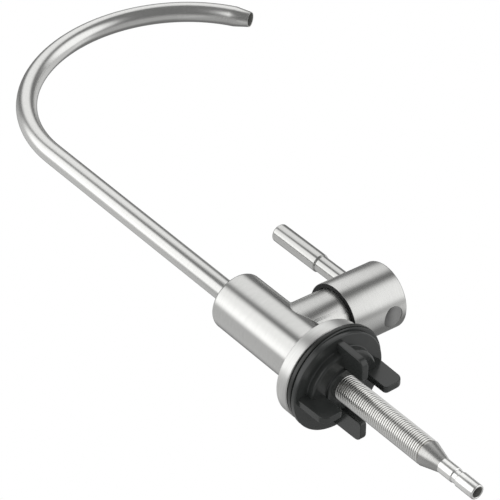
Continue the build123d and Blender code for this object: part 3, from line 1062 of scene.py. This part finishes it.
@dataclass
class Handle:
    """Drum on the branch's end with its ring, the lever in it and the plug over its screw."""

    radius: float = 14.4
    start: float = 24.9
    end: float = 51.9
    mouth_radius: float = 14.22
    mouth_end: float = 28.9
    mouth_edge: float = 0.06
    cavity_radius: float = 12.6
    cavity_end: float = 36.0
    stem_radius: float = 3.95
    stem_end: float = 47.55
    ring_inner: float = 12.35
    ring_lip_radius: float = 14.17
    ring_lip_end: float = 26.5
    ring_lip_edge: float = 0.08
    ring_tail_radius: float = 12.55
    lever_foot: float = 35.6
    lever_stud: float = 2.5
    lever_seat: float = 41.1
    lever_thin: float = 3.65
    lever_thick: float = 4.15
    lever_step: float = 58.0
    lever_cone: float = 0.9
    lever_top: float = 86.2
    plug_radius: float = 4.7
    plug_rim: float = 13.4
    plug_rim_width: float = 0.2
    plug_dish: float = 0.5
    plug_dish_floor: float = 0.6
    plug_dish_blend: float = 8.0
    plug_end: float = 17.55
    screw_radius: float = 2.05

    def build(self) -> None:
        """Build the drum, the ring, the lever and the plug."""
        self.build_drum()
        self.build_ring()
        self.build_lever()
        self.build_plug()

    def build_drum(self) -> None:
        """Turn the drum and drill it for the lever and the screw."""
        drum = turn("handle_drum", BRANCH_AXIS, [
            (self.end, 0), (self.end, self.radius, BROAD), (self.start, self.radius, self.mouth_edge),
            (self.start, self.mouth_radius, self.mouth_edge), (self.mouth_end, self.mouth_radius),
            (self.mouth_end, self.cavity_radius), (self.cavity_end, self.cavity_radius),
            (self.cavity_end, self.stem_radius), (self.stem_end, self.stem_radius),
            (self.stem_end, 0)], Steps.RIM)
        above, below = (BRANCH_HEIGHT + way * (self.radius + OVERSHOOT) for way in (1, -1))
        combine(drum, Way.CUT, [
            drill("lever_seat", LEVER_AXIS, self.lever_thin + CLEARANCE, self.lever_seat, above),
            drill("lever_hole", LEVER_AXIS, self.lever_stud + CLEARANCE, self.lever_foot - CLEARANCE,
                  self.lever_seat + OVERSHOOT),
            drill("plug_hole", PLUG_AXIS, self.plug_radius + CLEARANCE, below, self.plug_end + CLEARANCE),
            drill("screw_hole", PLUG_AXIS, self.screw_radius, below, BRANCH_HEIGHT)])
        smooth(drum)
        hand_over(drum, "handle", "brushed_steel", "handle_cap", STEEL_BRANCH)

    def build_ring(self) -> None:
        """Turn the black ring in the drum's mouth."""
        ring = turn("mouth_ring", BRANCH_AXIS, [
            (self.start, self.ring_inner, FINE), (self.start, self.ring_lip_radius, self.ring_lip_edge),
            (self.ring_lip_end, self.ring_lip_radius), (self.ring_lip_end, self.ring_tail_radius),
            (self.mouth_end, self.ring_tail_radius), (self.mouth_end, self.ring_inner)])
        hand_over(ring, "handle", "black_plastic", "handle_ring", RING_NYLON)

    def build_lever(self) -> None:
        """Turn the lever in one piece with its stud."""
        seat, cone = self.lever_seat + CLEARANCE, self.lever_step + self.lever_cone
        lever = turn("lever", LEVER_AXIS, [
            (self.lever_foot, 0), (self.lever_foot, self.lever_stud, PLAIN), (seat, self.lever_stud),
            (seat, self.lever_thin), (self.lever_step, self.lever_thin, FINE), (cone, self.lever_thick, FINE),
            (self.lever_top, self.lever_thick, BROAD), (self.lever_top, 0)], Steps.SLIM)
        hand_over(lever, "handle", "polished_steel", "lever_rod", LEVER_STEEL)

    def build_plug(self) -> None:
        """Turn the plug that covers the screw, with a shallow dish in its face."""
        dish = self.plug_rim + self.plug_dish
        plug = turn("screw_cover", PLUG_AXIS, [
            (dish, 0), (dish, self.plug_dish_floor * self.plug_radius, self.plug_dish_blend),
            (self.plug_rim, self.plug_radius - self.plug_rim_width, DEBURRED),
            (self.plug_rim, self.plug_radius, DEBURRED), (self.plug_end, self.plug_radius),
            (self.plug_end, 0)], Steps.SLIM)
        hand_over(plug, "handle", "grey_plastic", "screw_plug", PLUG)


@dataclass
class Spout:
    """Gooseneck tube: riser, bend and tapered nozzle, with its wall thinned at the mouth."""

    radius: float = 4.75
    wall: float = 0.8
    sides: int = 72
    foot: float = 43.2
    bend_start: float = 190.3
    bend_radius: float = 67.3
    bend_angle: float = 151.2
    bend_steps: int = 110
    nozzle_length: float = 7.9
    nozzle_radius: float = 3.55
    mouth_wall: float = 0.4
    mouth_reach: float = 0.5
    end_edge: float = 0.12
    azimuth: float = -5.4

    @property
    def heading(self) -> Matrix:
        """Turn from the plane of +X and +Z to the plane in which the tube lies."""
        return Matrix.Rotation(math.radians(self.azimuth), 3, "Z")

    @property
    def exit_way(self) -> Vector:
        """Direction of the nozzle."""
        bend = math.radians(self.bend_angle)
        return self.heading @ Vector((math.sin(bend), 0, math.cos(bend)))

    def build(self) -> None:
        """Draw the tube along its run: extrude the riser, spin the bend, taper the nozzle."""
        deselect()
        bpy.ops.mesh.primitive_circle_add(vertices=self.sides, radius=self.radius * MM,
                                          location=(0, 0, self.foot * MM))
        tube = bpy.context.object
        tube.name = tube.data.name = "gooseneck"
        edit()
        bpy.ops.mesh.select_all(action="SELECT")
        bpy.ops.mesh.extrude_region_move(
            TRANSFORM_OT_translate={"value": (0, 0, (self.bend_start - self.foot) * MM)})
        bpy.ops.mesh.spin(steps=self.bend_steps, angle=-math.radians(self.bend_angle),
                          axis=self.heading @ Vector((0, 1, 0)),
                          center=self.heading @ Vector((self.bend_radius, 0, self.bend_start)) * MM)
        bpy.ops.mesh.extrude_region_move(
            TRANSFORM_OT_translate={"value": self.exit_way * self.nozzle_length * MM})
        taper = self.nozzle_radius / self.radius
        bpy.ops.transform.resize(value=(taper, taper, taper))
        close_shell()
        coat(tube, TUBE_STEEL, BORE)
        apply_modifier(tube, "SOLIDIFY", thickness=self.wall * MM, use_even_offset=True, material_offset=1)
        self.flare_bore(tube)
        break_edges(tube, self.end_edge)
        self.unroll(tube)
        hand_over(tube, "spout", "polished_steel", "spout_tube")

    def flare_bore(self, tube: Object) -> None:
        """Widen the bore at the nozzle's mouth, where the wall was thinned as it was swaged.

        Args:
            tube: The tube, with its wall.
        """
        bend = math.radians(self.bend_angle)
        run = Vector((1 - math.cos(bend), 0, math.sin(bend))) * self.bend_radius
        mouth = self.heading @ (run + Vector((0, 0, self.bend_start))) + self.exit_way * self.nozzle_length
        clear_selection(tube)
        for vertex in tube.data.vertices:
            off = vertex.co / MM - mouth
            inside = off.length < self.nozzle_radius - self.wall / 2
            vertex.select = inside and abs(off.dot(self.exit_way)) < self.mouth_reach
        edit()
        widen = (self.nozzle_radius - self.mouth_wall) / (self.nozzle_radius - self.wall)
        bpy.ops.transform.resize(value=(widen, widen, widen))
        leave()

    def unroll(self, tube: Object) -> None:
        """Note for each point where it would be on a straight tube, for the grain to follow the bend.

        Args:
            tube: The finished tube.
        """
        notes = tube.data.attributes.new(TUBE_STEEL.unrolled, "FLOAT_VECTOR", "POINT")
        back = self.heading.transposed()
        for vertex, note in zip(tube.data.vertices, notes.data):
            place = back @ vertex.co / MM
            rise = place.z - self.bend_start
            if rise <= 0 and place.x < self.bend_radius:
                note.vector = place * MM
                continue
            turned = math.pi - math.atan2(rise, place.x - self.bend_radius)
            out = math.hypot(rise, place.x - self.bend_radius) - self.bend_radius
            note.vector = Vector((-out, place.y, self.bend_start + turned * self.bend_radius)) * MM


def dress_nodes(nodes: dict[str, Object], slots: dict[str, str]) -> None:
    """Give the CAD nodes their finishes, for those that no piece replaces.

    Args:
        nodes: CAD nodes by name.
        slots: Material slot of each node by the node's name.
    """
    for name, node in nodes.items():
        for slot in node.material_slots:
            slot.material = FINISH_OF_SLOT[slots[name]].material()


def main() -> None:
    """Build the studio and dress the faucet, piece by piece."""
    logging.basicConfig(level=logging.INFO, format="%(name)s: %(message)s")
    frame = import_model()
    Studio().build()
    slots = {part["node"]: part["material_slot"] for part in frame["record"]["subparts"]}
    dress_nodes(frame["nodes"], slots)
    for assembly in (Column(), DeckPlate(), Shank(), WingNut(), Handle(), Spout()):
        assembly.build()


if __name__ == "__main__":
    main()
